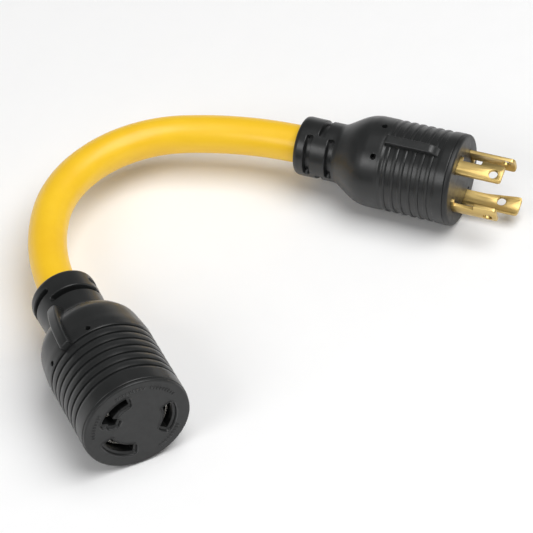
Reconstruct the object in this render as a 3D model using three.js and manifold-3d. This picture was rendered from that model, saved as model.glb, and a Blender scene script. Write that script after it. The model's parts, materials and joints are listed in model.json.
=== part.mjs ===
// Power adapter lead, "dogbone" shape: a four-blade locking plug and a three-slot locking
// connector, moulded onto the two ends of one short, stiff, three-conductor cord.
//
// Millimetres. +X is the way the plug's blades point, +Z is up, and z = 0 is the surface that
// both heads lie on. The origin is on that surface, under the middle of the two heads.
//
// Each head is modelled in a frame of its own: x = 0 is its face, +x leads out of the face, so
// "depth" is a distance back from the face towards the cord. An angle round a head is measured
// from straight up, clockwise as the face is looked at.

import * as THREE from 'three';
import { mergeVertices } from 'three/addons/utils/BufferGeometryUtils.js';
import Module from 'manifold-3d';

const wasm = await Module();
wasm.setup();

// ---- fits and facets

const clearance = 0.3;
const bodySides = 36;

// ---- where the heads lie

const plugFaceX = 63.5;
const plugFaceY = 92.7;

// ---- plug body: front band, seven grooves, shoulder and neck

const plugRadius = 21.8;
const plugLength = 78.4;
const plugFaceRadius = 21.7;
const plugFlangeDepth = 2.2;
const plugNeckRadius = 13.6;
const plugGrooves = { first: 8.1, pitch: 4.15, count: 7, width: 2.2, floor: 21.15, land: 21.65 };
const plugCarrierRadius = 18.4;
const plugCarrierDepth = 18.4;
const plugChamberRadius = 17;

// ---- plug blades: arcs on one circle, each with a locking notch and a hole

const bladeInnerRadius = 13.4;
const bladeOuterRadius = 15.2;
const bladeHalfWidth = 4.5;
const bladeReach = 21.8;
const groundBladeReach = 26.6;
const bladeNotch = { from: 1.2, to: 10.6, depth: 2.2 };
const groundRootHalfWidth = 3.2;
const bladeHole = { x: 17.4, offset: -1.1, radius: 2.1 };
const bladeTailHalfWidth = 2.9;
const bladeTailEnd = -25;
const keyAngle = -16;
const bladeAngles = {
  neutral: keyAngle,
  hot_x: keyAngle + 90,
  ground: keyAngle + 180,
  hot_y: keyAngle - 90,
};

// ---- crimp barrels on the blades and contacts

const barrelRadius = 2.6;
const barrelBore = 1.8;
const barrelLength = 11;
const plugBarrelOffset = 11.4;
const plugBarrelDepth = 21;

// ---- connector body

const connectorRadius = 25.4;
const connectorLength = 88.2;
const connectorFaceRadius = 25;
const connectorFlangeDepth = 1.7;
const connectorNeckRadius = 15.1;
const connectorGrooves = { first: 9.2, pitch: 4.55, count: 7, width: 1.6, floor: 24.75, land: 25.4 };
const connectorKeyAngle = -36;
const connectorInsertRadius = 21.4;
const connectorInsertDepth = 24;
const retainerDepth = 27.4;
const connectorChamberRadius = 20;

// ---- connector slots and the spring contacts behind them

const slotInnerRadius = 13;
const slotOuterRadius = 16.8;
const slotThroatDepth = 4.5;
const pocketInnerRadius = 11.6;
const pocketOuterRadius = 18.2;
const contactInnerRadius = 12.6;
const contactOuterRadius = 16.1;
const leafThickness = 0.8;
const contactFront = 5;
const contactRear = 22;
const connectorBarrelOffset = 13;
const connectorBarrelDepth = 29;
const slots = {
  ground: { angle: -39, halfWidth: 28 },
  hot: { angle: 101, halfWidth: 26.5 },
  neutral: { angle: -138.5, halfWidth: 29.5 },
};

// ---- cord

const cordRadius = 9;
const jacketBore = 6.5;
const conductorRadius = 2.65;
const conductorBore = 1.9;
const coreRadius = 1.45;
const fillerRadius = 1.05;
const conductorCircle = 3.3;
const fillerCircle = 4.8;
const layTurns = -1.5;
// Added to the lay, so that each strand ends in line with its own contact.
const layTrim = 5;
const neckBore = 9.3;
const plugCordDepth = 48;
const connectorCordDepth = 69.5;
const cordBends = [
  { radius: 163.9, turn: 20.3 },
  { radius: 60.4, turn: 83.3 },
  { radius: 98.8, turn: 32.4 },
];
const cordSag = 1;

// ---- materials

function material(color, roughness, metalness) {
  return new THREE.MeshStandardMaterial({ color, roughness, metalness });
}

const blackVinyl = material(0x26282a, 0.42, 0);
const blackFace = material(0x34373a, 0.5, 0);
const darkFill = material(0x1c1d1f, 0.7, 0);
const brass = material(0xb69a62, 0.32, 1);
const copper = material(0xb46a3c, 0.35, 1);
const yellowVinyl = material(0xf8cb3c, 0.35, 0);
const paper = material(0xc9b48c, 0.95, 0);
const blackInsulation = material(0x1d1d1f, 0.45, 0);
const whiteInsulation = material(0xe6e4dc, 0.45, 0);
const greenInsulation = material(0x2c7a3f, 0.45, 0);

// ---- solids

const radians = THREE.MathUtils.degToRad;

// A closed geometry as a solid, with its faces turned outwards.
function solid(geometry) {
  geometry.deleteAttribute('normal');
  geometry.deleteAttribute('uv');
  const merged = mergeVertices(geometry);
  const corners = merged.index.array;
  const points = merged.attributes.position;
  const a = new THREE.Vector3();
  const b = new THREE.Vector3();
  const c = new THREE.Vector3();
  const triangles = [];
  let volume = 0;
  for (let i = 0; i < corners.length; i += 3) {
    const [p, q, r] = [corners[i], corners[i + 1], corners[i + 2]];
    if (p === q || q === r || r === p) continue;
    a.fromBufferAttribute(points, p);
    b.fromBufferAttribute(points, q);
    c.fromBufferAttribute(points, r);
    volume += a.dot(b.cross(c));
    triangles.push(p, q, r);
  }
  if (volume < 0) triangles.reverse();
  return new wasm.Manifold(new wasm.Mesh({
    numProp: 3,
    vertProperties: points.array,
    triVerts: Uint32Array.from(triangles),
  }));
}

function mesh(name, shape, look) {
  const result = shape.getMesh();
  const geometry = new THREE.BufferGeometry();
  geometry.setAttribute('position', new THREE.BufferAttribute(result.vertProperties, 3));
  geometry.setIndex(new THREE.BufferAttribute(result.triVerts, 1));
  geometry.computeVertexNormals();
  const node = new THREE.Mesh(geometry, look);
  node.name = name;
  return node;
}

// A closed outline of [depth, radius] pairs, turned about the head's axis.
function turned(outline, sides) {
  const points = outline.map(([depth, radius]) => new THREE.Vector2(radius, -depth));
  const geometry = new THREE.LatheGeometry([...points, points[0].clone()], sides);
  geometry.rotateZ(-Math.PI / 2);
  return solid(geometry);
}

// A shape drawn across the head, (sideways, up), and extruded along the axis between two depths.
function across(shape, fromDepth, toDepth, curveSegments = 8) {
  const geometry = new THREE.ExtrudeGeometry(shape, {
    depth: toDepth - fromDepth,
    bevelEnabled: false,
    curveSegments,
  });
  const axes = new THREE.Matrix4().makeBasis(
    new THREE.Vector3(0, 1, 0),
    new THREE.Vector3(0, 0, 1),
    new THREE.Vector3(1, 0, 0),
  );
  geometry.applyMatrix4(axes);
  geometry.translate(-toDepth, 0, 0);
  return solid(geometry);
}

// A piece of a ring, between two radii, two depths and either side of an angle.
function sector(inner, outer, fromDepth, toDepth, angle, halfWidth) {
  const start = radians(90 - angle + halfWidth);
  const end = radians(90 - angle - halfWidth);
  const shape = new THREE.Shape();
  shape.absarc(0, 0, outer, start, end, true);
  shape.absarc(0, 0, inner, end, start, false);
  return across(shape, fromDepth, toDepth, Math.ceil(halfWidth / 4));
}

// A round rod or hole parallel to the axis, offset from it at an angle.
function axialRod(radius, fromDepth, toDepth, offset, angle, sides) {
  const geometry = new THREE.CylinderGeometry(radius, radius, toDepth - fromDepth, sides);
  geometry.rotateZ(Math.PI / 2);
  geometry.translate(-(fromDepth + toDepth) / 2, 0, offset);
  geometry.rotateX(-radians(angle));
  return solid(geometry);
}

// A round rod or hole that points out along a radius of the head.
function radialRod(radius, depth, fromRadius, toRadius, angle, sides) {
  const geometry = new THREE.CylinderGeometry(radius, radius, toRadius - fromRadius, sides);
  geometry.rotateX(Math.PI / 2);
  geometry.translate(-depth, 0, (fromRadius + toRadius) / 2);
  geometry.rotateX(-radians(angle));
  return solid(geometry);
}

// A plan of (x, sideways) points, extruded upwards between two heights.
function plan(points, fromHeight, toHeight) {
  const shape = new THREE.Shape(points.map(([x, y]) => new THREE.Vector2(x, y)));
  const geometry = new THREE.ExtrudeGeometry(shape, { depth: toHeight - fromHeight, bevelEnabled: false });
  geometry.translate(0, 0, fromHeight);
  return solid(geometry);
}

// A bar along the head at an angle round it, from its side outline of [depth, radius] pairs.
function keyBar(outline, halfWidth, angle) {
  const shape = new THREE.Shape(outline.map(([depth, radius]) => new THREE.Vector2(-depth, radius)));
  const geometry = new THREE.ExtrudeGeometry(shape, { depth: 2 * halfWidth, bevelEnabled: false });
  geometry.rotateX(Math.PI / 2);
  geometry.translate(0, halfWidth, 0);
  geometry.rotateX(-radians(angle));
  return solid(geometry);
}

// The outline of a run of grooves, front to back, as [depth, radius] pairs.
function grooveOutline({ first, pitch, count, width, floor, land }) {
  const outline = [];
  for (let i = 0; i < count; i += 1) {
    const start = first + i * pitch;
    outline.push([start - 0.6, land], [start + width * 0.6, floor], [start + width + 0.2, land]);
  }
  return outline;
}

// ---- cord route: one arc after another from the plug's neck to the connector's

function routeStretches() {
  const stretches = [];
  let x = plugFaceX - plugLength;
  let y = plugFaceY;
  let heading = 180;
  for (const { radius, turn } of cordBends) {
    const length = radius * radians(turn);
    stretches.push({ x, y, heading, length, radius });
    const end = pointAlong(stretches.at(-1), length);
    ({ x, y, heading } = end);
  }
  return stretches;
}

function pointAlong({ x, y, heading, radius }, distance) {
  const start = radians(heading);
  const turn = distance / radius;
  return {
    x: x + radius * (Math.sin(start + turn) - Math.sin(start)),
    y: y - radius * (Math.cos(start + turn) - Math.cos(start)),
    heading: heading + THREE.MathUtils.radToDeg(turn),
  };
}

const stretches = routeStretches();
const freeLength = stretches.reduce((sum, stretch) => sum + stretch.length, 0);

// The middle of the cord at a distance from the plug's neck. Below 0 and beyond the free length
// it runs straight on inside a head.
function cordMiddle(distance) {
  const within = THREE.MathUtils.clamp(distance, 0, freeLength);
  const beyond = distance - within;
  const share = within / freeLength;
  let left = within;
  let index = 0;
  while (index < stretches.length - 1 && left > stretches[index].length) {
    left -= stretches[index].length;
    index += 1;
  }
  const at = pointAlong(stretches[index], left);
  const along = new THREE.Vector3(Math.cos(radians(at.heading)), Math.sin(radians(at.heading)), 0);
  const rise = (connectorRadius - plugRadius) * THREE.MathUtils.smoothstep(share, 0, 1);
  const height = plugRadius + rise - cordSag * Math.sin(Math.PI * share) ** 2;
  const middle = new THREE.Vector3(at.x, at.y, height).addScaledVector(along, beyond);
  const side = new THREE.Vector3(along.y, -along.x, 0);
  return { middle, side };
}

// Distances from one to another, closer together where the conductors fan out inside a head.
function stations(from, to) {
  const inPlug = spread(plugDistance(plugFan.start), plugDistance(plugFan.end), 5);
  const free = spread(0, freeLength, 24);
  const inConnector = spread(connectorDistance(connectorFan.end), connectorDistance(connectorFan.start), 7);
  const between = [...inPlug, ...free, ...inConnector].filter((at) => at > from + 1 && at < to - 1);
  return [from, ...between, to];
}

function spread(from, to, steps) {
  return Array.from({ length: steps + 1 }, (_, i) => THREE.MathUtils.lerp(from, to, i / steps));
}

// A strand beside the cord's middle: offset(distance) gives its radius and angle there.
class Strand extends THREE.Curve {
  constructor(from, to, offset) {
    super();
    this.stations = stations(from, to);
    this.offset = offset;
  }

  getUtoTmapping(u) {
    return u;
  }

  getPoint(t, target = new THREE.Vector3()) {
    const place = t * (this.stations.length - 1);
    const index = Math.min(Math.floor(place), this.stations.length - 2);
    const distance = THREE.MathUtils.lerp(this.stations[index], this.stations[index + 1], place - index);
    const { middle, side } = cordMiddle(distance);
    const { radius, angle } = this.offset(distance);
    return target.copy(middle)
      .addScaledVector(side, radius * Math.sin(radians(angle)))
      .add(new THREE.Vector3(0, 0, radius * Math.cos(radians(angle))));
  }
}

// A round tube, or a solid round if bore is 0, along a strand.
function tube(strand, radius, bore, sides) {
  const steps = strand.stations.length - 1;
  const shape = new THREE.Shape();
  shape.setFromPoints(polygon(radius, sides));
  if (bore) shape.holes.push(new THREE.Path(polygon(bore, sides)));
  return solid(new THREE.ExtrudeGeometry(shape, { steps, bevelEnabled: false, extrudePath: strand }));
}

function polygon(radius, sides) {
  const corners = [];
  for (let i = 0; i < sides; i += 1) {
    const angle = (2 * Math.PI * i) / sides;
    corners.push(new THREE.Vector2(radius * Math.cos(angle), radius * Math.sin(angle)));
  }
  return corners;
}

// ---- conductors: crimped in the plug, laid round the cord, fanned out again in the connector

const conductors = {
  hot: { plug: bladeAngles.hot_x, lay: 74, connector: slots.hot.angle },
  ground: { plug: bladeAngles.ground, lay: 194, connector: slots.ground.angle },
  neutral: { plug: bladeAngles.neutral, lay: 314, connector: slots.neutral.angle },
};

const plugFan = { start: plugBarrelDepth + barrelLength + 1, end: plugCordDepth - 0.6 };
const connectorFan = { start: connectorBarrelDepth + barrelLength + 1, end: connectorCordDepth - 1 };

// The angle of the lay at a distance along the cord, for a strand that starts at an angle.
function layAngle(start, distance) {
  const share = THREE.MathUtils.clamp(distance / freeLength, 0, 1);
  return start + (360 * layTurns + layTrim) * share;
}

function nearest(angle, target) {
  return angle + 360 * Math.round((target - angle) / 360);
}

function conductorOffset({ plug, lay, connector }) {
  return (distance) => {
    if (distance < 0) {
      const share = THREE.MathUtils.smoothstep(plugLength + distance, plugFan.start, plugFan.end);
      return {
        radius: THREE.MathUtils.lerp(plugBarrelOffset, conductorCircle, share),
        angle: THREE.MathUtils.lerp(nearest(plug, lay), lay, share),
      };
    }
    const laid = layAngle(lay, distance);
    if (distance <= freeLength) return { radius: conductorCircle, angle: laid };
    const depth = connectorLength - (distance - freeLength);
    const share = THREE.MathUtils.smoothstep(depth, connectorFan.start, connectorFan.end);
    return {
      radius: THREE.MathUtils.lerp(connectorBarrelOffset, conductorCircle, share),
      angle: THREE.MathUtils.lerp(nearest(-connector, laid), laid, share),
    };
  };
}

function plugDistance(depth) {
  return depth - plugLength;
}

function connectorDistance(depth) {
  return freeLength + connectorLength - depth;
}

const root = new THREE.Group();

const plugHead = new THREE.Group();
plugHead.position.set(plugFaceX, plugFaceY, plugRadius);
root.add(plugHead);

const cordEndsAt = pointAlong(stretches.at(-1), stretches.at(-1).length);
const connectorHeading = radians(cordEndsAt.heading);
const connectorHead = new THREE.Group();
connectorHead.position.set(
  cordEndsAt.x + connectorLength * Math.cos(connectorHeading),
  cordEndsAt.y + connectorLength * Math.sin(connectorHeading),
  connectorRadius,
);
connectorHead.rotation.z = connectorHeading;
root.add(connectorHead);

// A solid in the object's frame, as seen from a head's own frame.
function inHead(head, shape) {
  root.updateMatrixWorld(true);
  return shape.transform(head.matrixWorld.clone().invert().toArray());
}

// The tunnel that an inner mould leaves for a conductor and its crimp barrel.
function conductorTunnel(head, name, from, to) {
  const strand = new Strand(from, to, conductorOffset(conductors[name]));
  return inHead(head, tube(strand, conductorRadius + 0.6, 0, 8));
}

// Strain relief slots in a neck: each row is a pair of opposite slots, a quarter turn from the next.
function neckSlots(rows, width, halfWidth, floor) {
  return rows.flatMap(({ depth, angle }) => [angle, angle + 180].map((middle) => (
    sector(floor, floor + 8, depth - width / 2, depth + width / 2, middle, halfWidth)
  )));
}

// ---- plug

// Outer moulding: grip, shoulder and neck in one, with the key bar, pin holes and neck slots.
function plugBody() {
  const front = plugFlangeDepth + clearance;
  const outside = [
    [front, plugRadius - 0.2],
    [front + 0.4, plugRadius],
    ...grooveOutline(plugGrooves),
    [43.5, 21.5],
    [47.4, 20.7],
    [51, 19],
    [54.6, 16.8],
    [57.6, 14.9],
    [60, plugNeckRadius],
    [76.8, plugNeckRadius - 0.2],
    [plugLength, plugNeckRadius - 1.8],
  ];
  const inside = [
    [plugLength, neckBore],
    [plugCordDepth - 0.6, neckBore],
    [40, plugChamberRadius],
    [plugCarrierDepth + clearance, plugChamberRadius],
    [plugCarrierDepth + clearance, plugCarrierRadius + clearance],
    [front, plugCarrierRadius + clearance],
  ];
  const bar = [
    [8, 20.4],
    [8, 21.8],
    [12.5, 24.3],
    [33.6, 24.3],
    [34.6, 23.2],
    [34.6, 20.4],
  ];
  let body = turned([...outside, ...inside], bodySides)
    .add(keyBar(bar, 2.2, keyAngle))
    .subtract(radialRod(1.1, 38.2, 17.8, 23, keyAngle - 23, 10))
    .subtract(radialRod(1.1, 38.2, 17.8, 23, keyAngle + 23, 10));
  const rows = [
    { depth: 62, angle: keyAngle - 50 },
    { depth: 67.4, angle: keyAngle + 40 },
    { depth: 72.7, angle: keyAngle - 50 },
  ];
  for (const slot of neckSlots(rows, 3.2, 46, 11)) body = body.subtract(slot);
  return body;
}

// Face and blade carrier: a flange over the front of the body and a boss inside it, with a slot
// through both for each blade.
function plugFace() {
  let face = turned([
    [0, 0],
    [0, 20.6],
    [0.4, 21.3],
    [1, plugFaceRadius],
    [plugFlangeDepth, plugFaceRadius],
    [plugFlangeDepth, plugCarrierRadius],
    [plugCarrierDepth, plugCarrierRadius],
    [plugCarrierDepth, 0],
  ], bodySides);
  const half = THREE.MathUtils.radToDeg(Math.asin((bladeHalfWidth + 0.45) / bladeInnerRadius));
  for (const angle of Object.values(bladeAngles)) {
    const inner = bladeInnerRadius - clearance - 0.1;
    const outer = bladeOuterRadius + clearance + 0.1;
    face = face.subtract(sector(inner, outer, -1, plugCarrierDepth + 1, angle, half));
  }
  return face;
}

// The outline of a live blade as (x, sideways) points from its tail, with its locking notch.
function liveBladeOutline() {
  const { from, to, depth } = bladeNotch;
  const reach = bladeReach;
  return [
    [bladeTailEnd, -bladeTailHalfWidth],
    [-5, -bladeTailHalfWidth],
    [-4, -bladeHalfWidth],
    [reach - 1.8, -bladeHalfWidth],
    [reach - 0.5, -bladeHalfWidth + 0.5],
    [reach, -bladeHalfWidth + 1.8],
    [reach, bladeHalfWidth - 1.8],
    [reach - 0.5, bladeHalfWidth - 0.5],
    [reach - 1.8, bladeHalfWidth],
    [to, bladeHalfWidth],
    [to, bladeHalfWidth - depth],
    [from, bladeHalfWidth - depth],
    [from, bladeHalfWidth],
    [-4, bladeHalfWidth],
    [-5, bladeTailHalfWidth],
    [bladeTailEnd, bladeTailHalfWidth],
  ];
}

// The longer ground blade has one straight edge, and one that widens from its root to its tip.
function groundBladeOutline() {
  const reach = groundBladeReach;
  const wide = bladeHalfWidth + 0.3;
  return [
    [bladeTailEnd, -bladeTailHalfWidth],
    [-5, -bladeTailHalfWidth],
    [-4, -groundRootHalfWidth],
    [9.5, -groundRootHalfWidth],
    [reach - 2, -wide],
    [reach - 0.6, -wide + 0.2],
    [reach, -wide + 1],
    [reach, bladeHalfWidth - 1.8],
    [reach - 0.5, bladeHalfWidth - 0.5],
    [reach - 1.8, bladeHalfWidth],
    [-4, bladeHalfWidth],
    [-5, bladeTailHalfWidth],
    [bladeTailEnd, bladeTailHalfWidth],
  ];
}

// A blade bent to its arc, pointing up, with its tail behind the carrier.
function blade(isGround) {
  const outline = isGround ? groundBladeOutline() : liveBladeOutline();
  const ring = sector(bladeInnerRadius, bladeOuterRadius, -30, -bladeTailEnd + 1, 0, 40);
  const hole = radialRod(bladeHole.radius, -bladeHole.x, bladeInnerRadius - 2, bladeOuterRadius + 2, 0, 14)
    .translate([0, bladeHole.offset, 0]);
  return ring.intersect(plan(outline, bladeInnerRadius - 4, bladeOuterRadius + 2)).subtract(hole);
}

// The same blade with a crimp barrel under its tail.
function crimpedBlade(isGround) {
  const barrelEnd = plugBarrelDepth + barrelLength;
  return blade(isGround)
    .add(axialRod(barrelRadius, plugBarrelDepth, barrelEnd, plugBarrelOffset, 0, 12))
    .subtract(axialRod(barrelBore, plugBarrelDepth - 1, barrelEnd + 1, plugBarrelOffset, 0, 10));
}

// Inner mould: fills the chamber behind the carrier, round the crimps and conductors.
function plugInnerMould() {
  const front = plugCarrierDepth + 2 * clearance;
  let fill = turned([
    [front, 0],
    [front, plugChamberRadius - clearance],
    [39.9, plugChamberRadius - clearance],
    [plugCordDepth - 1.4, neckBore],
    [plugCordDepth - 1.4, 0],
  ], 32);
  for (const name of Object.keys(conductors)) {
    const to = plugDistance(plugCordDepth + 1);
    fill = fill.subtract(conductorTunnel(plugHead, name, plugDistance(17.5), to));
  }
  for (const angle of Object.values(bladeAngles)) {
    fill = fill.subtract(sector(12.4, bladeOuterRadius + 0.5, 17, 26, angle, 16));
  }
  return fill;
}

plugHead.add(mesh('plug_body', plugBody(), blackVinyl));
plugHead.add(mesh('plug_face', plugFace(), blackFace));
plugHead.add(mesh('plug_inner_mould', plugInnerMould(), darkFill));
for (const [name, angle] of Object.entries(bladeAngles)) {
  const shape = name === 'hot_y' ? blade(false) : crimpedBlade(name === 'ground');
  const node = mesh(`plug_blade_${name}`, shape, brass);
  node.rotation.x = -radians(angle);
  plugHead.add(node);
}

// ---- connector

// Outer moulding, with the key bar that runs from the grip down to the root of the neck.
function connectorBody() {
  const front = connectorFlangeDepth + clearance;
  const outside = [
    [front, connectorRadius - 0.6],
    [front + 0.8, connectorRadius],
    ...grooveOutline(connectorGrooves),
    [43, connectorRadius - 0.1],
    [50, 24.5],
    [56, 23.2],
    [60, 20.8],
    [63, 17.6],
    [65.8, connectorNeckRadius],
    [86.8, connectorNeckRadius + 0.4],
    [connectorLength, connectorNeckRadius - 1],
  ];
  const inside = [
    [connectorLength, neckBore],
    [connectorCordDepth - 0.6, neckBore],
    [52, connectorChamberRadius],
    [retainerDepth + clearance, connectorChamberRadius],
    [retainerDepth + clearance, connectorInsertRadius + clearance],
    [front, connectorInsertRadius + clearance],
  ];
  const bar = [
    [38, 23],
    [38, 28.3],
    [44, 28],
    [49, 27.2],
    [56, 25.3],
    [62, 23.1],
    [66, 21],
    [67.6, 19.7],
    [68.3, 18.2],
    [68.3, 13],
    [60, 17],
    [50, 22.5],
  ];
  let body = turned([...outside, ...inside], bodySides)
    .add(keyBar(bar, 2.5, connectorKeyAngle))
    .subtract(radialRod(1.15, 40.6, 21, 27, connectorKeyAngle - 27, 10))
    .subtract(radialRod(1.15, 40.6, 21, 27, connectorKeyAngle + 27, 10));
  const rows = [
    { depth: 76.2, angle: connectorKeyAngle + 49 },
    { depth: 82.5, angle: connectorKeyAngle - 45 },
  ];
  for (const slot of neckSlots(rows, 3.2, 50, 12)) body = body.subtract(slot);
  return body;
}

// A slot with a lip that opens towards the face, and the contact's pocket behind it.
function slotCutters({ angle, halfWidth }) {
  return [
    sector(slotInnerRadius, slotOuterRadius, -1, slotThroatDepth + 1, angle, halfWidth),
    sector(slotInnerRadius - 0.5, slotOuterRadius + 0.5, -1, 0.9, angle, halfWidth + 2),
    sector(
      pocketInnerRadius,
      pocketOuterRadius,
      slotThroatDepth,
      connectorInsertDepth + 1,
      angle,
      halfWidth + 1.5,
    ),
  ];
}

// Face and contact insert: the ground slot has a foot that turns in towards the middle.
function connectorFace() {
  let face = turned([
    [0, 0],
    [0, 22.4],
    [0.4, 23.9],
    [1, 24.7],
    [1.4, connectorFaceRadius],
    [connectorFlangeDepth, connectorFaceRadius],
    [connectorFlangeDepth, connectorInsertRadius],
    [connectorInsertDepth, connectorInsertRadius],
    [connectorInsertDepth, 0],
  ], bodySides);
  for (const slot of Object.values(slots)) {
    for (const cutter of slotCutters(slot)) face = face.subtract(cutter);
  }
  return face
    .subtract(sector(10.2, 13.5, -1, connectorInsertDepth + 1, slots.ground.angle - 24, 8.5));
}

// Plate that closes the pockets and holds the contacts' tails.
function contactRetainer() {
  let plate = turned([
    [connectorInsertDepth + clearance, 0],
    [connectorInsertDepth + clearance, connectorInsertRadius],
    [retainerDepth, connectorInsertRadius],
    [retainerDepth, 0],
  ], bodySides);
  for (const { angle } of Object.values(slots)) {
    plate = plate.subtract(sector(13.9, 16.3, 20, 30, angle, 13));
  }
  return plate;
}

// Spring contact: two leaves that a blade slides between, joined at the back, a tail and a barrel.
function springContact({ halfWidth }) {
  const half = halfWidth - 3;
  const barrelEnd = connectorBarrelDepth + barrelLength;
  return sector(contactInnerRadius, contactInnerRadius + leafThickness, contactFront, contactRear, 0, half)
    .add(sector(contactOuterRadius - leafThickness, contactOuterRadius, contactFront, contactRear, 0, half))
    .add(sector(contactInnerRadius, contactOuterRadius, contactRear - 1, contactRear, 0, half))
    .add(sector(14.3, 15.9, contactRear - 0.5, connectorBarrelDepth + 4, 0, 10))
    .add(axialRod(barrelRadius, connectorBarrelDepth, barrelEnd, connectorBarrelOffset, 0, 12))
    .subtract(axialRod(barrelBore, connectorBarrelDepth - 1, barrelEnd + 1, connectorBarrelOffset, 0, 10));
}

function connectorInnerMould() {
  const front = retainerDepth + 2 * clearance;
  let fill = turned([
    [front, 0],
    [front, connectorChamberRadius - clearance],
    [51.8, connectorChamberRadius - clearance],
    [connectorCordDepth - 1.2, neckBore],
    [connectorCordDepth - 1.2, 0],
  ], 32);
  for (const name of Object.keys(conductors)) {
    const from = connectorDistance(connectorCordDepth + 1);
    fill = fill.subtract(conductorTunnel(connectorHead, name, from, connectorDistance(26.5)));
  }
  const room = barrelRadius + 0.5;
  const barrelEnd = connectorBarrelDepth + barrelLength + 1;
  for (const { angle } of Object.values(slots)) {
    fill = fill.subtract(sector(13.9, 16.3, 26, connectorBarrelDepth + 4.5, angle, 13));
    fill = fill.subtract(axialRod(room, 26, barrelEnd, connectorBarrelOffset, angle, 12));
  }
  return fill;
}

connectorHead.add(mesh('connector_body', connectorBody(), blackVinyl));
connectorHead.add(mesh('connector_face', connectorFace(), blackFace));
connectorHead.add(mesh('connector_contact_retainer', contactRetainer(), blackFace));
connectorHead.add(mesh('connector_inner_mould', connectorInnerMould(), darkFill));
for (const [name, slot] of Object.entries(slots)) {
  const node = mesh(`connector_contact_${name}`, springContact(slot), brass);
  node.rotation.x = -radians(slot.angle);
  connectorHead.add(node);
}

// ---- cord

const cordStart = plugDistance(plugCordDepth);
const cordEnd = connectorDistance(connectorCordDepth);
const straight = () => ({ radius: 0, angle: 0 });

const jacket = tube(new Strand(cordStart, cordEnd, straight), cordRadius, jacketBore, 12);
root.add(mesh('cord_jacket', jacket, yellowVinyl));

const insulation = { hot: blackInsulation, neutral: whiteInsulation, ground: greenInsulation };
const bareAtPlug = plugDistance(plugFan.start);
const bareAtConnector = connectorDistance(connectorFan.start);
const coreStart = plugDistance(plugBarrelDepth + 1);
const coreEnd = connectorDistance(connectorBarrelDepth + 1);
for (const [name, ends] of Object.entries(conductors)) {
  const offset = conductorOffset(ends);
  const cover = tube(new Strand(bareAtPlug, bareAtConnector, offset), conductorRadius, conductorBore, 8);
  root.add(mesh(`cord_insulation_${name}`, cover, insulation[name]));
  const core = tube(new Strand(coreStart, coreEnd, offset), coreRadius, 0, 6);
  root.add(mesh(`cord_core_${name}`, core, copper));
  const laidBetween = (distance) => ({ radius: fillerCircle, angle: layAngle(ends.lay + 60, distance) });
  const filler = new Strand(cordStart + 2, cordEnd - 2, laidBetween);
  root.add(mesh(`cord_filler_${name}_side`, tube(filler, fillerRadius, 0, 5), paper));
}

export default root;
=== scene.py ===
# Looks of the power adapter lead: two moulded black heads with brass blades, and a yellow cord.
#
# Sizes are in millimetres and become metres where a mesh is made. Each head is described in a
# frame of its own: depth is measured back from its face, and an angle round it from straight up,
# clockwise as the face is looked at.

import json
from math import cos, pi, radians, sin

import bmesh
import bpy
import numpy as np
from mathutils import Matrix, Vector


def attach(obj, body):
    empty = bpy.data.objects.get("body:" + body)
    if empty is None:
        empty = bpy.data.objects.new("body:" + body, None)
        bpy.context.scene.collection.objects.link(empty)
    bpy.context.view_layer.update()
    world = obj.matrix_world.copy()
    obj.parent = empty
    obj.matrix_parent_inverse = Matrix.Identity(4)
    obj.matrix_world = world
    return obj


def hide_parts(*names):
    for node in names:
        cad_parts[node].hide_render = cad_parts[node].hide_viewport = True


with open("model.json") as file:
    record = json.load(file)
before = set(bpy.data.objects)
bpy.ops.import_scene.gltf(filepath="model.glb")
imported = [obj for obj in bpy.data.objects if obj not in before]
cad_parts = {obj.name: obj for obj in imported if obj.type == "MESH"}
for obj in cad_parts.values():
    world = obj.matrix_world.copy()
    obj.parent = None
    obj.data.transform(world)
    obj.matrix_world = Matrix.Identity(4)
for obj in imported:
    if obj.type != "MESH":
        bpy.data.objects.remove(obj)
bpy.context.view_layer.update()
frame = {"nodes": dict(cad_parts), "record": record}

MM = 0.001
UP = Vector((0, 0, 1))


# ---- heads: the surface of each one
#
# An outline and a bar's top are (depth, radius) points. Grooves start at "first" and repeat every
# "pitch"; "entry" and "exit" are the widths of a groove's two walls, "last_exit" is the last one's
# far wall, "lean" tips the floor and "crown" is how far the lands between grooves are rounded off.
# A slot is the (depth, angle) of its middle, and there is one more on the other side of the neck.

PLUG = {
    "mount": "plug_face",
    "length": 79.6,
    "cord_exit": 78.4,
    "bore": 9.2,
    "outline": [
        (2.4, 21.5), (2.5, 21.7), (2.8, 21.8), (4.2, 21.8), (7.4, 21.75), (35.6, 21.6), (42.5, 21.55),
        (45.8, 21.1), (48, 20.45), (50.2, 19.45), (52.4, 18.2), (54.6, 16.8), (57, 15.3), (58.8, 14.3),
        (60.2, 13.95), (62, 13.9), (77.4, 14.05), (78.6, 13.8), (79.3, 13.2), (79.6, 12.3),
    ],
    "grooves": {
        "first": 7.3, "pitch": 4.2, "count": 7, "width": 2.85, "depth": 0.48, "entry": 0.25, "exit": 0.3,
        "last_exit": 2.2, "lean": 0.35, "crown": 0.1,
    },
    "bar": {
        "angle": -16,
        "half_width": 2.2,
        "corner": 0.6,
        "edge": 0.45,
        "end_edge": 0.35,
        "from": 8,
        "to": 34.6,
        "top": [(8, 21.8), (9, 22.4), (12, 24.3), (12.8, 24.4), (33.6, 24.4), (34.6, 24.2)],
    },
    "pins": {"depth": 38.2, "spread": 23, "radius": 1.45},
    "slots": [(62, -66), (67.4, 24), (72.7, -66)],
    "slot_half_turn": 46,
    "slot_floor": 11.4,
}

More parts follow.
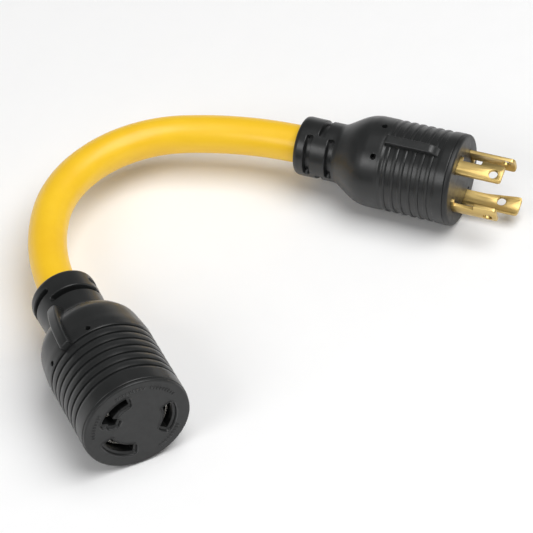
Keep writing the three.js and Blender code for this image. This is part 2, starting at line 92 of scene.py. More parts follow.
CONNECTOR = {
    "mount": "connector_face",
    "length": 88.2,
    "bore": 9.2,
    "outline": [
        (1.9, 25), (2, 25.2), (2.4, 25.35), (4, 25.4), (42, 25.35), (47, 24.85), (50, 24.5), (53, 24.05),
        (55, 23.55), (55.9, 23.15), (58, 21.95), (60, 20.6), (61.5, 19.2), (63, 17.5),
        (64.2, 16.1), (65.4, 15.3), (66.6, 15.1), (70, 15.1), (76, 15.25), (86.4, 15.5),
        (87.4, 15.3), (88, 14.8), (88.2, 14),
    ],
    "grooves": {
        "first": 9.45, "pitch": 4.55, "count": 7, "width": 1.5, "depth": 1, "entry": 0.35, "exit": 0.35,
        "last_exit": 0.35, "lean": 0, "crown": 0.2,
    },
    "bar": {
        "angle": -36.3,
        "half_width": 2.6,
        "corner": 1.8,
        "edge": 1.1,
        "end_edge": 0.4,
        "from": 38,
        "to": 68.5,
        "top": [
            (38, 28.7), (42, 28.5), (49, 27.5), (56, 25.7), (62, 23.5), (66, 21.6), (67.6, 20.7),
            (68.5, 20.1),
        ],
    },
    "pins": {"depth": 40.6, "spread": 27, "radius": 1.25},
    "slots": [(76.2, 13), (82.5, -81)],
    "slot_half_turn": 50,
    "slot_floor": 11,
}

SLOT_HALF_WIDTH = 1.75
SLOT_CORNER = 1.5
SLOT_LIP = 0.45
PIN_DEPTH = 4
PIN_LIP = 0.25
BAR_BLEND = 0.5

# ---- faces: each rim is (depth, radius) points, round the edge and back inside the body

PLUG_RIM = [
    (0, 20.4), (0.1, 20.9), (0.35, 21.3), (0.7, 21.55), (1.2, 21.7), (2.2, 21.72), (2.25, 18.4),
    (8, 18.4),
]
CONNECTOR_RIM = [
    (0, 24.2), (0.06, 24.55), (0.2, 24.8), (0.45, 24.98), (1, 25.05), (1.7, 25.05), (1.75, 21.4),
    (8, 21.4),
]

BLADE_MOAT = {"half_thickness": 1.25, "half_width": 5.1, "corner": 0.4, "depth": 1.2, "lip": 0.3}

SLOT_RADIUS = 15.1
SLOT_HALF_GAP = 2
SLOT_DEPTH = 7
# The angle of each slot's middle, and half the turn it covers.
CONNECTOR_SLOTS = [(-39, 28), (101, 26.5), (-138.5, 29.5)]
FOOT = {"angle": -63, "radius": 11.9, "half_gap": 1.7, "half_turn": 8.5}
# Slots are open past this depth, inside this radius.
OPEN_PAST = 6
FLOOR_REACH = 19.5
# The land that leads a blade in, and the raised line round it.
LEAD_IN = {"step": 0.75, "from": 1, "to": 1.25, "slope": 0.4}
RIDGE = {"height": 0.4, "away": 1.55, "width": 0.32}
# Arcs of plain raised ticks near the connector's edge, in degrees.
TICK_STARTS = [-88, -22, 24, 118]
TICKS = 9
TICK_PITCH = 4.5
TICK_HEIGHT = 0.36
TICK_HALF_WIDTH = (0.7, 1.4)
TICK_INNER = (19.9, 20.1)
TICK_OUTER = (21.4, 21.6)

# ---- blades: bent from flat plate to one circle

BLADE_RADIUS = 14.3
BLADE_THICKNESS = 1.8
BLADE_HALF_WIDTH = 4.5
BLADE_REACH = 21.8
GROUND_REACH = 26.6
# One edge of the ground blade slants out between two depths.
GROUND_EDGE = {"near": 3.2, "far": 4.8, "from": 9.5, "to": 24.5}
BLADE_ROOT = -4.5
BLADE_TAIL = {"from": -5.5, "to": -24, "half_width": 2.9}
BLADE_NOTCH = {"from": 1.2, "to": 10.6, "depth": 2.2}
BLADE_HOLE = {"x": 17.4, "y": -1.1, "radius": 2.15, "sides": 28}
BLADE_BEVEL = 0.22
BLADES = {
    "plug_blade_neutral": {"angle": -16, "ground": False},
    "plug_blade_hot_x": {"angle": 74, "ground": False},
    "plug_blade_ground": {"angle": 164, "ground": True},
    "plug_blade_hot_y": {"angle": -106, "ground": False},
}

# ---- cord

CORD_DIAMETER = 18
# These arcs were fitted to the cord's edges in the photograph, with the sag below, and rounded.
CORD_BENDS = [
    {"radius": 163.9, "turn": 20.3},
    {"radius": 60.4, "turn": 83.3},
    {"radius": 98.8, "turn": 32.4},
]
CORD_SAG = 1
CORD_STEP = 2.5
CORD_INSIDE = 5


def head_frame(head):
    """The matrix that takes a head's own frame, +X out of its face, into the object's."""
    mount = next(m for m in frame["record"]["mounts"] if m["name"] == head["mount"])
    out = Vector(mount["axis"]).normalized()
    turn = Matrix((out, UP.cross(out), UP)).transposed()
    return Matrix.Translation(mount["pos_m"]) @ turn.to_4x4()


# ---- camera

def aim_camera(target, distance, azimuth, elevation, roll, lens):
    azimuth, elevation, roll = radians(azimuth), radians(elevation), radians(roll)
    back = Vector((sin(azimuth) * cos(elevation), -cos(azimuth) * cos(elevation), sin(elevation)))
    right = Vector((cos(azimuth), sin(azimuth), 0))
    up = back.cross(right)
    data = bpy.data.cameras.new("camera")
    data.lens = lens
    data.sensor_width = 36
    camera = bpy.data.objects.new("camera", data)
    across = right * cos(roll) + up * sin(roll)
    upright = up * cos(roll) - right * sin(roll)
    turn = Matrix((across, upright, back)).transposed().to_4x4()
    camera.matrix_world = Matrix.Translation((target + back * distance) * MM) @ turn
    bpy.context.collection.objects.link(camera)
    bpy.context.scene.camera = camera


# Solved from the heads' outlines in the photograph.
aim_camera(
    target=Vector((-3.1, 14.3, 20)),
    distance=1603.8,
    azimuth=25.87,
    elevation=45.22,
    roll=-5.65,
    lens=237.6,
)


# ---- materials: node trees in each piece's own coordinates, which are metres

def add(tree, kind, inputs=None, **settings):
    """A new node; an input given another node's output is linked to it."""
    node = tree.nodes.new(kind)
    for name, value in settings.items():
        setattr(node, name, value)
    for name, value in (inputs or {}).items():
        if isinstance(value, bpy.types.NodeSocket):
            tree.links.new(value, node.inputs[name])
        else:
            node.inputs[name].default_value = value
    return node


def noise(tree, scale, detail=3, stretch=(1, 1, 1)):
    """Noise with features about 1 / scale metres across, longer where stretch is below 1."""
    place = add(tree, "ShaderNodeTexCoord").outputs["Object"]
    spread = add(tree, "ShaderNodeMapping", {"Vector": place, "Scale": stretch})
    inputs = {"Vector": spread.outputs["Vector"], "Scale": scale, "Detail": detail, "Roughness": 0.6}
    return add(tree, "ShaderNodeTexNoise", inputs).outputs["Fac"]


def spread_over(tree, factor, low, high):
    """A number that goes from low to high over the middle of a noise."""
    inputs = {"Value": factor, "From Min": 0.3, "From Max": 0.7, "To Min": low, "To Max": high}
    return add(tree, "ShaderNodeMapRange", inputs).outputs["Result"]


def blend_colours(tree, factor, low, high):
    ramp = add(tree, "ShaderNodeValToRGB", {"Fac": factor})
    ramp.color_ramp.elements[0].position = 0.3
    ramp.color_ramp.elements[0].color = (*low, 1)
    ramp.color_ramp.elements[1].position = 0.7
    ramp.color_ramp.elements[1].color = (*high, 1)
    return ramp.outputs["Color"]


def bumps(tree, *layers):
    """Bump nodes one on another, each layer a (height, depth in metres) pair."""
    normal = None
    for height, depth in layers:
        inputs = {"Height": height, "Distance": depth, "Strength": 1}
        if normal:
            inputs["Normal"] = normal
        normal = add(tree, "ShaderNodeBump", inputs).outputs["Normal"]
    return normal


def surface(name, colours, roughness, layers, cloud=60, stretch=(1, 1, 1), **uniform):
    """A Principled material with a mottled colour, an uneven roughness and layered bumps.

    layers are (scale, depth in metres) pairs; uniform sets the shader's other sockets.
    """
    material = bpy.data.materials.new(name)
    material.use_nodes = True
    tree = material.node_tree
    shader = tree.nodes["Principled BSDF"]
    for socket, value in uniform.items():
        shader.inputs[socket.replace("_", " ")].default_value = value
    clouds = noise(tree, cloud, 4, stretch)
    smears = noise(tree, cloud * 5, 3, stretch)
    tree.links.new(blend_colours(tree, clouds, *colours), shader.inputs["Base Color"])
    tree.links.new(spread_over(tree, smears, *roughness), shader.inputs["Roughness"])
    heights = [(noise(tree, scale, 2, stretch), depth) for scale, depth in layers]
    tree.links.new(bumps(tree, *heights), shader.inputs["Normal"])
    return material


BLACK = surface(
    "black_vinyl",
    colours=((0.011, 0.0117, 0.0117), (0.016, 0.0168, 0.0168)),
    roughness=(0.29, 0.36),
    layers=((250, 0.000008), (1800, 0.000002)),
)
# Painted shade: the faces are the same black as the body, but this copy is darker to stand for the lesser
# light that falls on them. Its higher roughness is the faces' own matte finish.
SHADED_BLACK_FACE = surface(
    "black_face",
    colours=((0.0075, 0.0081, 0.0081), (0.0115, 0.0122, 0.0122)),
    roughness=(0.38, 0.5),
    layers=((400, 0.00002), (3000, 0.000008)),
)
DARK_FILL = surface(
    "dark_fill",
    colours=((0.01, 0.01, 0.011), (0.016, 0.016, 0.017)),
    roughness=(0.6, 0.8),
    layers=((900, 0.00004),),
)
BRASS = surface(
    "brass",
    colours=((0.56, 0.39, 0.13), (0.68, 0.51, 0.21)),
    roughness=(0.3, 0.4),
    layers=((1400, 0.000004), (6000, 0.000002)),
    cloud=140,
    stretch=(0.12, 1, 1),
    Metallic=1.0,
)
PLATED = surface(
    "plated_brass",
    colours=((0.55, 0.53, 0.48), (0.68, 0.66, 0.6)),
    roughness=(0.25, 0.35),
    layers=((1400, 0.000004),),
    Metallic=1.0,
)
YELLOW = surface(
    "yellow_vinyl",
    colours=((0.9, 0.53, 0.008), (0.96, 0.6, 0.014)),
    roughness=(0.38, 0.48),
    layers=((120, 0.00012), (2200, 0.00001)),
    cloud=35,
    Coat_Weight=0.2,
    Coat_Roughness=0.22,
)
COPPER = surface(
    "copper",
    colours=((0.75, 0.34, 0.17), (0.87, 0.44, 0.25)),
    roughness=(0.25, 0.4),
    layers=((3000, 0.00002),),
    Metallic=1.0,
)
PAPER = surface(
    "paper_filler",
    colours=((0.5, 0.38, 0.22), (0.66, 0.53, 0.34)),
    roughness=(0.85, 0.95),
    layers=((1800, 0.00006),),
)
INSULATION_COLOURS = {
    "hot": ("black_insulation", (0.01, 0.01, 0.011), (0.02, 0.02, 0.021)),
    "neutral": ("white_insulation", (0.7, 0.69, 0.66), (0.82, 0.81, 0.78)),
    "ground": ("green_insulation", (0.015, 0.14, 0.035), (0.03, 0.2, 0.055)),
}
INSULATION = {
    conductor: surface(name, (dark, light), roughness=(0.35, 0.5), layers=((700, 0.00003),))
    for conductor, (name, dark, light) in INSULATION_COLOURS.items()
}


# ---- meshes

def publish(name, mesh_or_curve, matrix, material, slot, *nodes):
    """Puts a piece in the scene, on the object's one body, in place of its CAD nodes."""
    piece = bpy.data.objects.new(name, mesh_or_curve)
    piece.matrix_world = matrix
    piece.data.materials.append(material)
    bpy.context.collection.objects.link(piece)
    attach(piece, "root")
    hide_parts(*nodes)
    return piece


def finish_mesh(mesh, crease=40):
    """Joins doubled points, and shades smooth but for edges sharper than crease degrees."""
    edit = bmesh.new()
    edit.from_mesh(mesh)
    bmesh.ops.remove_doubles(edit, verts=edit.verts, dist=2e-6)
    for face in edit.faces:
        face.smooth = True
    for edge in edit.edges:
        edge.smooth = not edge.is_manifold or edge.calc_face_angle(0) < radians(crease)
    edit.to_mesh(mesh)
    edit.free()
    return mesh


def turned_mesh(name, depth, radius, angle):
    """A mesh from arrays, in millimetres and degrees, whose rows run back along a head."""
    depth, radius, angle = np.broadcast_arrays(depth, radius, np.radians(angle))
    points = np.stack([-depth, radius * np.sin(angle), radius * np.cos(angle)], axis=-1) * MM
    index = np.arange(depth.size).reshape(depth.shape)
    after = np.roll(index, -1, axis=1)
    quads = np.stack([index[:-1], after[:-1], after[1:], index[1:]], axis=-1)
    mesh = bpy.data.meshes.new(name)
    mesh.from_pydata(points.reshape(-1, 3).tolist(), [], quads.reshape(-1, 4).tolist())
    return mesh


def lines(start, end, step, fine=()):
    """Places from start to end, a step apart, and closer over (from, to, step) stretches."""
    places = [np.linspace(start, end, round((end - start) / step) + 1)]
    for low, high, fine_step in fine:
        places[0] = places[0][(places[0] < low) | (places[0] > high)]
        places.append(np.arange(low, high, fine_step))
    merged = np.unique(np.concatenate(places).round(4))
    return merged[np.concatenate([[True], np.diff(merged) > 0.03])]


def smooth(knots, at):
    """A smooth line through (place, value) knots, without overshoot between them."""
    places, values = np.array(knots, float).T
    steps = np.diff(places)
    slopes = np.diff(values) / steps
    product = slopes[:-1] * slopes[1:]
    total = np.where(product > 0, slopes[:-1] + slopes[1:], 1)
    inner = np.where(product > 0, 2 * product / total, 0)
    tangents = np.concatenate([[slopes[0]], inner, [slopes[-1]]])
    i = np.clip(np.searchsorted(places, at, side="right") - 1, 0, len(steps) - 1)
    t = np.clip((at - places[i]) / steps[i], 0, 1)
    return (
        (1 + 2 * t) * (1 - t) ** 2 * values[i]
        + t * (1 - t) ** 2 * steps[i] * tangents[i]
        + t * t * (3 - 2 * t) * values[i + 1]
        + t * t * (t - 1) * steps[i] * tangents[i + 1]
    )


def ease(low, high, at):
    t = np.clip((at - low) / (high - low), 0, 1)
    return t * t * (3 - 2 * t)


def wrap(angle):
    return (angle + 180) % 360 - 180


def box_distance(across, along, half_across, half_along, corner):
    """Signed distance to a rectangle with round corners, negative inside it."""
    over = np.abs(across) - half_across + corner
    past = np.abs(along) - half_along + corner
    outside = np.hypot(np.maximum(over, 0), np.maximum(past, 0))
    return outside + np.minimum(np.maximum(over, past), 0) - corner


def soft_max(a, b, width):
    """The larger of two numbers, with the corner between them filled in."""
    share = np.clip(0.5 + 0.5 * (a - b) / width, 0, 1)
    return b + (a - b) * share + width * share * (1 - share)


def round_top(inside, width):
    """0 at an edge to 1 a width inside it, straight up at the edge and round at the top."""
    t = np.clip(inside / width, 0, 1)
    return np.sqrt(1 - (1 - t) ** 2)


def round_lip(inside, width):
    """0 at an edge to 1 a width inside it, round at the edge and straight down after it."""
    t = np.clip(inside / width, 0, 1)
    return 1 - np.sqrt(1 - t ** 2)


# ---- heads

def groove_depth(grooves, depth):
    """How far a head's skin drops below its outline, in the grooves and on the lands between them."""
    index = np.clip(np.floor((depth - grooves["first"]) / grooves["pitch"]), 0, grooves["count"] - 1)
    along = depth - grooves["first"] - index * grooves["pitch"]
    width = grooves["width"]
    last = index == grooves["count"] - 1
    exit_start = width - np.where(last, grooves["last_exit"], grooves["exit"])
    wall = ease(0, grooves["entry"], along) * (1 - ease(exit_start, width, along))
    cut = grooves["depth"] * wall * (1 + grooves["lean"] * (along / width - 0.5))
    land = 2 * (along - width) / (grooves["pitch"] - width) - 1
    land = np.where(along < 0, along + 1, np.where(last, np.minimum(along - width - 1, 0), land))
    return np.maximum(cut, grooves["crown"] * np.clip(land, -1, 1) ** 2 * (along + 1 > 0))


def bar_radius(bar, depth, angle):
    """The radius of a bar's skin: upright sides, a flat back with round edges, and a round rear end."""
    turn = np.abs(np.sin(np.radians(np.clip(wrap(angle - bar["angle"]), -60, 60))))
    past = np.clip((depth - bar["to"]) / bar["corner"] + 1, 0, 1)
    half = bar["half_width"] - bar["corner"] * (1 - np.sqrt(1 - past ** 2))
    top = smooth(bar["top"], np.clip(depth, bar["from"], bar["to"]))
    ends = np.minimum(depth - bar["from"], bar["to"] - depth)
    top = top - bar["end_edge"] * (1 - round_top(ends, bar["end_edge"]))
    top = top - bar["edge"] * (1 - round_top(half - top * turn, bar["edge"]))
    side = half / np.maximum(turn, 0.01)
    return np.where((depth > bar["from"]) & (depth < bar["to"]), np.minimum(top, side), 0)


def head_radius(head, depth, angle):
    """The radius of a head's skin at depths down the rows and angles along the columns."""
    base = smooth(head["outline"], depth)
    radius = base - groove_depth(head["grooves"], depth) + 0 * angle

    bar = head["bar"]
    radius = soft_max(radius, bar_radius(bar, depth, angle), BAR_BLEND)

    pins = head["pins"]
    for side in (-1, 1):
        turn = np.radians(wrap(angle - bar["angle"] - side * pins["spread"]))
        inside = pins["radius"] - np.hypot(depth - pins["depth"], base * turn)
        radius = radius - PIN_DEPTH * round_lip(inside, PIN_LIP)

    for slot_depth, slot_angle in head["slots"]:
        for middle_angle in (slot_angle, slot_angle + 180):
            turn = np.radians(wrap(angle - middle_angle))
            half_length = np.radians(head["slot_half_turn"]) * base
            away = box_distance(depth - slot_depth, base * turn, SLOT_HALF_WIDTH, half_length, SLOT_CORNER)
            radius = radius - (radius - head["slot_floor"]) * round_lip(-away, SLOT_LIP)
    return radius


def head_depths(head):
    """Depths for the rows of a head's skin, close together where it changes."""
    grooves, bar, pins = head["grooves"], head["bar"], head["pins"]
    front = head["outline"][0][0]
    close = [(front, front + 1.5, 0.15)]
    for i in range(grooves["count"]):
        start = grooves["first"] + i * grooves["pitch"]
        end = start + grooves["width"]
        close.append((start, start + grooves["entry"], grooves["entry"] / 4))
        close.append((end - grooves["exit"], end, 0.09))
    close.append((bar["to"] - bar["corner"], bar["to"] + 0.15, 0.1))
    close.append((bar["from"] - 0.15, bar["from"] + 0.6, 0.1))
    close.append((pins["depth"] - pins["radius"] - 0.1, pins["depth"] + pins["radius"] + 0.1, 0.13))
    for depth, _ in head["slots"]:
        close.append((depth - SLOT_HALF_WIDTH - 0.1, depth + SLOT_HALF_WIDTH + 0.1, 0.14))
    close.append((head["length"] - 2, head["length"], 0.2))
    return lines(front, head["length"], 0.6, close)


def head_angles(head):
    """Angles for the columns of a head's skin, close together at the bar, the pins and the slots' ends."""
    bar, pins = head["bar"], head["pins"]
    profile = bar["top"] + head["outline"]
    radii = [radius for depth, radius in profile if bar["from"] - 1 < depth < bar["to"] + 1]
    near = np.degrees(np.arcsin(bar["half_width"] / max(radii))) - 2
    far = np.degrees(np.arcsin(bar["half_width"] / min(radii))) + 1
    close = [
        (bar["angle"] + near, bar["angle"] + far, 0.25),
        (bar["angle"] - far, bar["angle"] - near, 0.25),
    ]
    for side in (-1, 1):
        middle = bar["angle"] + side * pins["spread"]
        reach = np.degrees(pins["radius"] / min(radii)) + 0.5
        close.append((middle - reach, middle + reach, 0.35))
    for _, slot_angle in head["slots"]:
        for side in (-1, 1):
            for opposite in (0, 180):
                end = float(wrap(slot_angle + side * head["slot_half_turn"] + opposite))
                low, high = (end - 7, end + 1) if side > 0 else (end - 1, end + 7)
                close.append((low, high, 0.7))
    return lines(-180, 180, 2.2, close)[:-1]


def make_body(name, head, slot):
    """A head's body: its skin, with rows before it into the front and after it into the cord's bore."""
    angle = head_angles(head)[None, :]
    depth = head_depths(head)[:, None]
    skin = head_radius(head, depth, angle)
    front_depth, front_radius = head["outline"][0]
    back, bore = head["length"], head["bore"]
    into_front, wall, into_bore = 6, 2.2, 9
    before = np.array([(front_depth + into_front, front_radius - wall), (front_depth, front_radius - wall)])
    lip = [(back, bore + 0.6), (back - 0.3, bore + 0.1), (back - 1, bore)]
    after = np.array([*lip, (back - into_bore, bore)])
    depths = np.vstack([before[:, :1], depth, after[:, :1]]) + 0 * angle
    radii = np.vstack([before[:, 1:] + 0 * angle, skin, after[:, 1:] + 0 * angle])
    mesh = turned_mesh(name, depths, radii, angle)
    return publish(name, finish_mesh(mesh), head_frame(head), BLACK, slot, name.replace("_skin", ""))


def make_face(name, head, rim, flat_depth, radii, angles, material, slot, node, open_past=None):
    """A face from its flat middle, dented by flat_depth(radius, angle), and its turned rim."""
    radius = radii[:, None]
    angle = angles[None, :]
    rim = np.array(rim)
    depths = np.vstack([flat_depth(radius, angle), rim[:, :1] + 0 * angle])
    mesh = turned_mesh(name, depths, np.vstack([radius, rim[:, 1:]]) + 0 * angle, angle)
    finish_mesh(mesh)
    if open_past:
        open_floors(mesh, open_past)
    return publish(name, mesh, head_frame(head), material, slot, node)


def open_floors(mesh, depth):
    """Takes out the floors of a face's slots, so that what is behind them shows."""
    edit = bmesh.new()
    edit.from_mesh(mesh)
    floors = []
    for face in edit.faces:
        if all(v.co.x < -depth * MM and v.co.yz.length < FLOOR_REACH * MM for v in face.verts):
            floors.append(face)
    bmesh.ops.delete(edit, geom=floors, context="FACES")
    edit.to_mesh(mesh)
    edit.free()


def plug_face_depth(radius, angle):
    """A shallow moat round the root of each blade."""
    moat = BLADE_MOAT
    depth = 0 * radius + 0 * angle
    for blade in BLADES.values():
        along = BLADE_RADIUS * np.radians(wrap(angle - blade["angle"]))
        across = radius - BLADE_RADIUS
        away = box_distance(across, along, moat["half_thickness"], moat["half_width"], moat["corner"])
        depth = np.maximum(depth, moat["depth"] * round_lip(-away, moat["lip"]))
    return depth


def connector_face_depth(radius, angle):
    """The slots, each behind a lip that leads a blade in, and a ring of plain ticks."""
    away = 99
    for middle, half_turn in CONNECTOR_SLOTS:
        along = SLOT_RADIUS * np.radians(wrap(angle - middle))
        half_length = SLOT_RADIUS * radians(half_turn)
        slot = box_distance(radius - SLOT_RADIUS, along, SLOT_HALF_GAP, half_length, 0.5)
        away = np.minimum(away, slot)
    along = FOOT["radius"] * np.radians(wrap(angle - FOOT["angle"]))
    half_length = FOOT["radius"] * radians(FOOT["half_turn"])
    foot = box_distance(radius - FOOT["radius"], along, FOOT["half_gap"], half_length, 0.4)
    away = np.minimum(away, foot)

    ridge = RIDGE["height"] * np.exp(-((away - RIDGE["away"]) / RIDGE["width"]) ** 2)
    step = LEAD_IN["step"] * (1 - ease(LEAD_IN["from"], LEAD_IN["to"], away))
    lip = step + LEAD_IN["slope"] * (1 - ease(0, 1, away)) - ridge
    ticks = 0
    for start in TICK_STARTS:
        for i in range(TICKS):
            ticks = ticks + 1 - ease(*TICK_HALF_WIDTH, np.abs(wrap(angle - start - i * TICK_PITCH)))
    lip = lip - TICK_HEIGHT * ticks * ease(*TICK_INNER, radius) * (1 - ease(*TICK_OUTER, radius))
    return np.where(away < 0, lip + SLOT_DEPTH * ease(0, 0.25, -away), lip)


# ---- blades

def rounded(corners, steps=5):
    """Corner points (x, y, radius) of an outline, as points with each corner made round."""
    points = []
    for i, (x, y, radius) in enumerate(corners):
        corner = Vector((x, y))
        before = Vector(corners[i - 1][:2])
        after = Vector(corners[(i + 1) % len(corners)][:2])
        if not radius:
            points.append(corner)
            continue
        start = corner + (before - corner).normalized() * radius
        end = corner + (after - corner).normalized() * radius
        for k in range(steps + 1):
            t = k / steps
            points.append(start * (1 - t) ** 2 + corner * 2 * t * (1 - t) + end * t * t)
    return points


def blade_corners(ground):
    """The outline as (x, sideways, corner radius); the ground blade has no locking notch."""
    wide = BLADE_HALF_WIDTH
    narrow = BLADE_TAIL["half_width"]
    tail = [
        (BLADE_TAIL["from"], narrow, 0.3),
        (BLADE_TAIL["to"], narrow, 0.3),
        (BLADE_TAIL["to"], -narrow, 0.3),
        (BLADE_TAIL["from"], -narrow, 0.3),
    ]
    if ground:
        return [
            (BLADE_ROOT, -GROUND_EDGE["near"], 0.3),
            (GROUND_EDGE["from"], -GROUND_EDGE["near"], 2),
            (GROUND_EDGE["to"], -GROUND_EDGE["far"], 1),
            (GROUND_REACH, -GROUND_EDGE["far"], 1),
            (GROUND_REACH, wide, 1.8),
            (BLADE_ROOT, wide, 0.3),
            *tail,
        ]
    floor = wide - BLADE_NOTCH["depth"]
    return [
        (BLADE_ROOT, -wide, 0.3),
        (BLADE_REACH, -wide, 1.8),
        (BLADE_REACH, wide, 1.8),
        (BLADE_NOTCH["to"], wide, 0.4),
        (BLADE_NOTCH["to"], floor, 0.6),
        (BLADE_NOTCH["from"], floor, 0.4),
        (BLADE_NOTCH["from"], wide, 0.2),
        (BLADE_ROOT, wide, 0.3),
        *tail,
    ]


def blade_hole():
    turns = [2 * pi * i / BLADE_HOLE["sides"] for i in range(BLADE_HOLE["sides"])]
    radius = BLADE_HOLE["radius"]
    return [(BLADE_HOLE["x"] + radius * cos(turn), BLADE_HOLE["y"] + radius * sin(turn)) for turn in turns]


def flat_blade(name, ground):
    """A blade's flat outline with its hole, as a bevelled plate lying in the XY plane."""
    curve = bpy.data.curves.new(name, "CURVE")
    curve.dimensions = "2D"
    curve.fill_mode = "BOTH"
    curve.extrude = BLADE_THICKNESS / 2 - BLADE_BEVEL
    curve.bevel_depth = BLADE_BEVEL
    curve.bevel_resolution = 2
    curve.offset = -BLADE_BEVEL
    for points in (rounded(blade_corners(ground)), blade_hole()):
        spline = curve.splines.new("POLY")
        spline.points.add(len(points) - 1)
        spline.use_cyclic_u = True
        for target, point in zip(spline.points, points):
            target.co = (point[0], point[1], 0, 1)
    holder = bpy.data.objects.new(name, curve)
    bpy.context.collection.objects.link(holder)
    mesh = bpy.data.meshes.new_from_object(holder.evaluated_get(bpy.context.evaluated_depsgraph_get()))
    bpy.data.objects.remove(holder)
    bpy.data.curves.remove(curve)
    return mesh


def bend_blade(mesh, angle):
    """Bends the plate to the blades' circle and turns it to its place round the plug."""
    edit = bmesh.new()
    edit.from_mesh(mesh)
    half_width, gap = 4.8, 0.4
    for y in np.arange(-half_width, half_width + gap / 4, gap):
        everything = edit.verts[:] + edit.edges[:] + edit.faces[:]
        bmesh.ops.bisect_plane(edit, geom=everything, plane_co=(0, y, 0), plane_no=(0, 1, 0), dist=1e-4)
    turn = Matrix.Rotation(-radians(angle), 3, "X")
    for vertex in edit.verts:
        x, y, z = vertex.co
        radius = BLADE_RADIUS + z
        vertex.co = turn @ Vector((x, y, (radius * radius - y * y) ** 0.5)) * MM
    edit.to_mesh(mesh)
    edit.free()


def make_blade(name, angle, ground):
    mesh = flat_blade(name, ground)
    bend_blade(mesh, angle)
    return publish(name + "_piece", finish_mesh(mesh, crease=32), head_frame(PLUG), BRASS, "brass", name)


# ---- cord

def cord_route():
    """Points along the middle of the cord, from just inside one neck to just inside the other."""
    start = head_frame(PLUG) @ Vector((-PLUG["cord_exit"] * MM, 0, 0)) / MM
    end_height = head_frame(CONNECTOR).translation.z / MM
    length = sum(bend["radius"] * radians(bend["turn"]) for bend in CORD_BENDS)
    at, heading, gone = Vector(start.xy), pi, 0
    points = [start - Vector((cos(heading), sin(heading), 0)) * CORD_INSIDE, start.copy()]
    for bend in CORD_BENDS:
        stretch = bend["radius"] * radians(bend["turn"])
        steps = round(stretch / CORD_STEP)
        for _ in range(steps):
            step = stretch / steps
            heading += step / bend["radius"] / 2
            at = at + Vector((cos(heading), sin(heading))) * step
            heading += step / bend["radius"] / 2
            gone += step
            share = gone / length
            height = start.z + (end_height - start.z) * ease(0, 1, share) - CORD_SAG * sin(pi * share) ** 2
            points.append(Vector((*at, height)))
    points.append(points[-1] + Vector((cos(heading), sin(heading), 0)) * CORD_INSIDE)
    return [point * MM for point in points], length * MM


def make_cord():
    """The jacket, with its exit at the plug's neck and its far end in the connector."""
    points, length = cord_route()
    curve = bpy.data.curves.new("cord", "CURVE")
    curve.dimensions = "3D"
    curve.bevel_depth = CORD_DIAMETER / 2 * MM
    curve.bevel_resolution = 14
    curve.use_fill_caps = True
    spline = curve.splines.new("POLY")
    spline.points.add(len(points) - 1)
    for target, point in zip(spline.points, points):
        target.co = (*point, 1)
    spline.use_smooth = True
    piece = publish("cord", curve, Matrix(), YELLOW, "yellow_vinyl", "cord_jacket")


make_cord()
make_body("plug_body_skin", PLUG, "black_vinyl")
make_body("connector_body_skin", CONNECTOR, "black_vinyl")

face_angles = lines(-180, 180, 0.75)[:-1]
make_face(
    "plug_face_skin",
    PLUG,
    PLUG_RIM,
    plug_face_depth,
    lines(0, 20.2, 0.9, [(12.4, 16.4, 0.12)]),
    face_angles,
    SHADED_BLACK_FACE,
    "black_face",
    "plug_face",
)
make_face(
    "connector_face_skin",
    CONNECTOR,
    CONNECTOR_RIM,
    connector_face_depth,
    lines(0, 24, 0.9, [(8.4, 19.2, 0.14), (19.8, 20.2, 0.1), (21.3, 21.7, 0.1)]),
    face_angles,
    SHADED_BLACK_FACE,
    "black_face",
    "connector_face",
    open_past=OPEN_PAST,
)
for blade_name, blade in BLADES.items():
    make_blade(blade_name, **blade)

# ---- CAD nodes that stay as they are

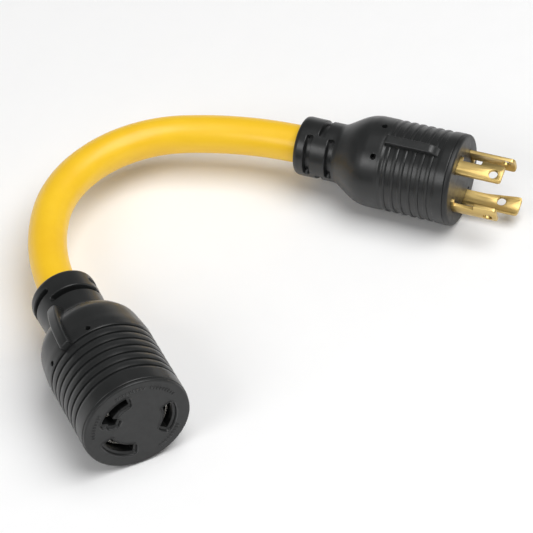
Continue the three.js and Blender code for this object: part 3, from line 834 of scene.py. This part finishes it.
KEPT = {
    "plug_inner_mould": DARK_FILL,
    "connector_inner_mould": DARK_FILL,
    "connector_contact_retainer": SHADED_BLACK_FACE,
    "connector_contact_ground": PLATED,
    "connector_contact_hot": PLATED,
    "connector_contact_neutral": PLATED,
}
for conductor, colour in INSULATION.items():
    KEPT[f"cord_insulation_{conductor}"] = colour
    KEPT[f"cord_core_{conductor}"] = COPPER
    KEPT[f"cord_filler_{conductor}_side"] = PAPER
for node_name, material in KEPT.items():
    for material_slot in frame["nodes"][node_name].material_slots:
        material_slot.material = material


# ---- floor and light, in metres

FLOOR_PAINT = surface(
    "floor",
    colours=((0.94, 0.94, 0.94), (0.95, 0.95, 0.95)),
    roughness=(0.8, 0.9),
    layers=((40, 0.0001),),
)


def make_floor():
    half = 4
    below = 0.0002
    corners = [(-half, -half, 0), (half, -half, 0), (half, half, 0), (-half, half, 0)]
    mesh = bpy.data.meshes.new("floor")
    mesh.from_pydata(corners, [], [(0, 1, 2, 3)])
    floor = bpy.data.objects.new("floor", mesh)
    floor.location.z = -below
    floor.data.materials.append(FLOOR_PAINT)
    bpy.context.collection.objects.link(floor)


def softbox(name, towards, distance, size, power):
    """A square area lamp in a direction from the object, turned to face it."""
    data = bpy.data.lights.new(name, "AREA")
    data.size = size
    data.energy = power
    lamp = bpy.data.objects.new(name, data)
    direction = Vector(towards).normalized()
    lamp.location = direction * distance
    lamp.rotation_euler = direction.to_track_quat("Z", "Y").to_euler()
    bpy.context.collection.objects.link(lamp)


def light_the_room():
    """A world that is bright near the horizon and dim overhead, and two soft lamps."""
    world = bpy.data.worlds.new("studio")
    world.use_nodes = True
    tree = world.node_tree
    place = add(tree, "ShaderNodeTexCoord").outputs["Generated"]
    height = add(tree, "ShaderNodeSeparateXYZ", {"Vector": place}).outputs["Z"]
    rise = add(tree, "ShaderNodeMapRange", {"Value": height, "From Max": 0.3, "To Min": 1, "To Max": 0.18})
    tree.links.new(rise.outputs["Result"], tree.nodes["Background"].inputs["Strength"])
    tree.nodes["Background"].inputs["Color"].default_value = (1, 1, 1, 1)
    bpy.context.scene.world = world
    softbox("key", towards=(-0.31, -0.7, 0.64), distance=1.4, size=0.6, power=4.6)
    softbox("top", towards=(0.35, 0.05, 1), distance=1.8, size=1.5, power=30)


make_floor()
light_the_room()
bpy.context.scene.view_settings.view_transform = "Standard"
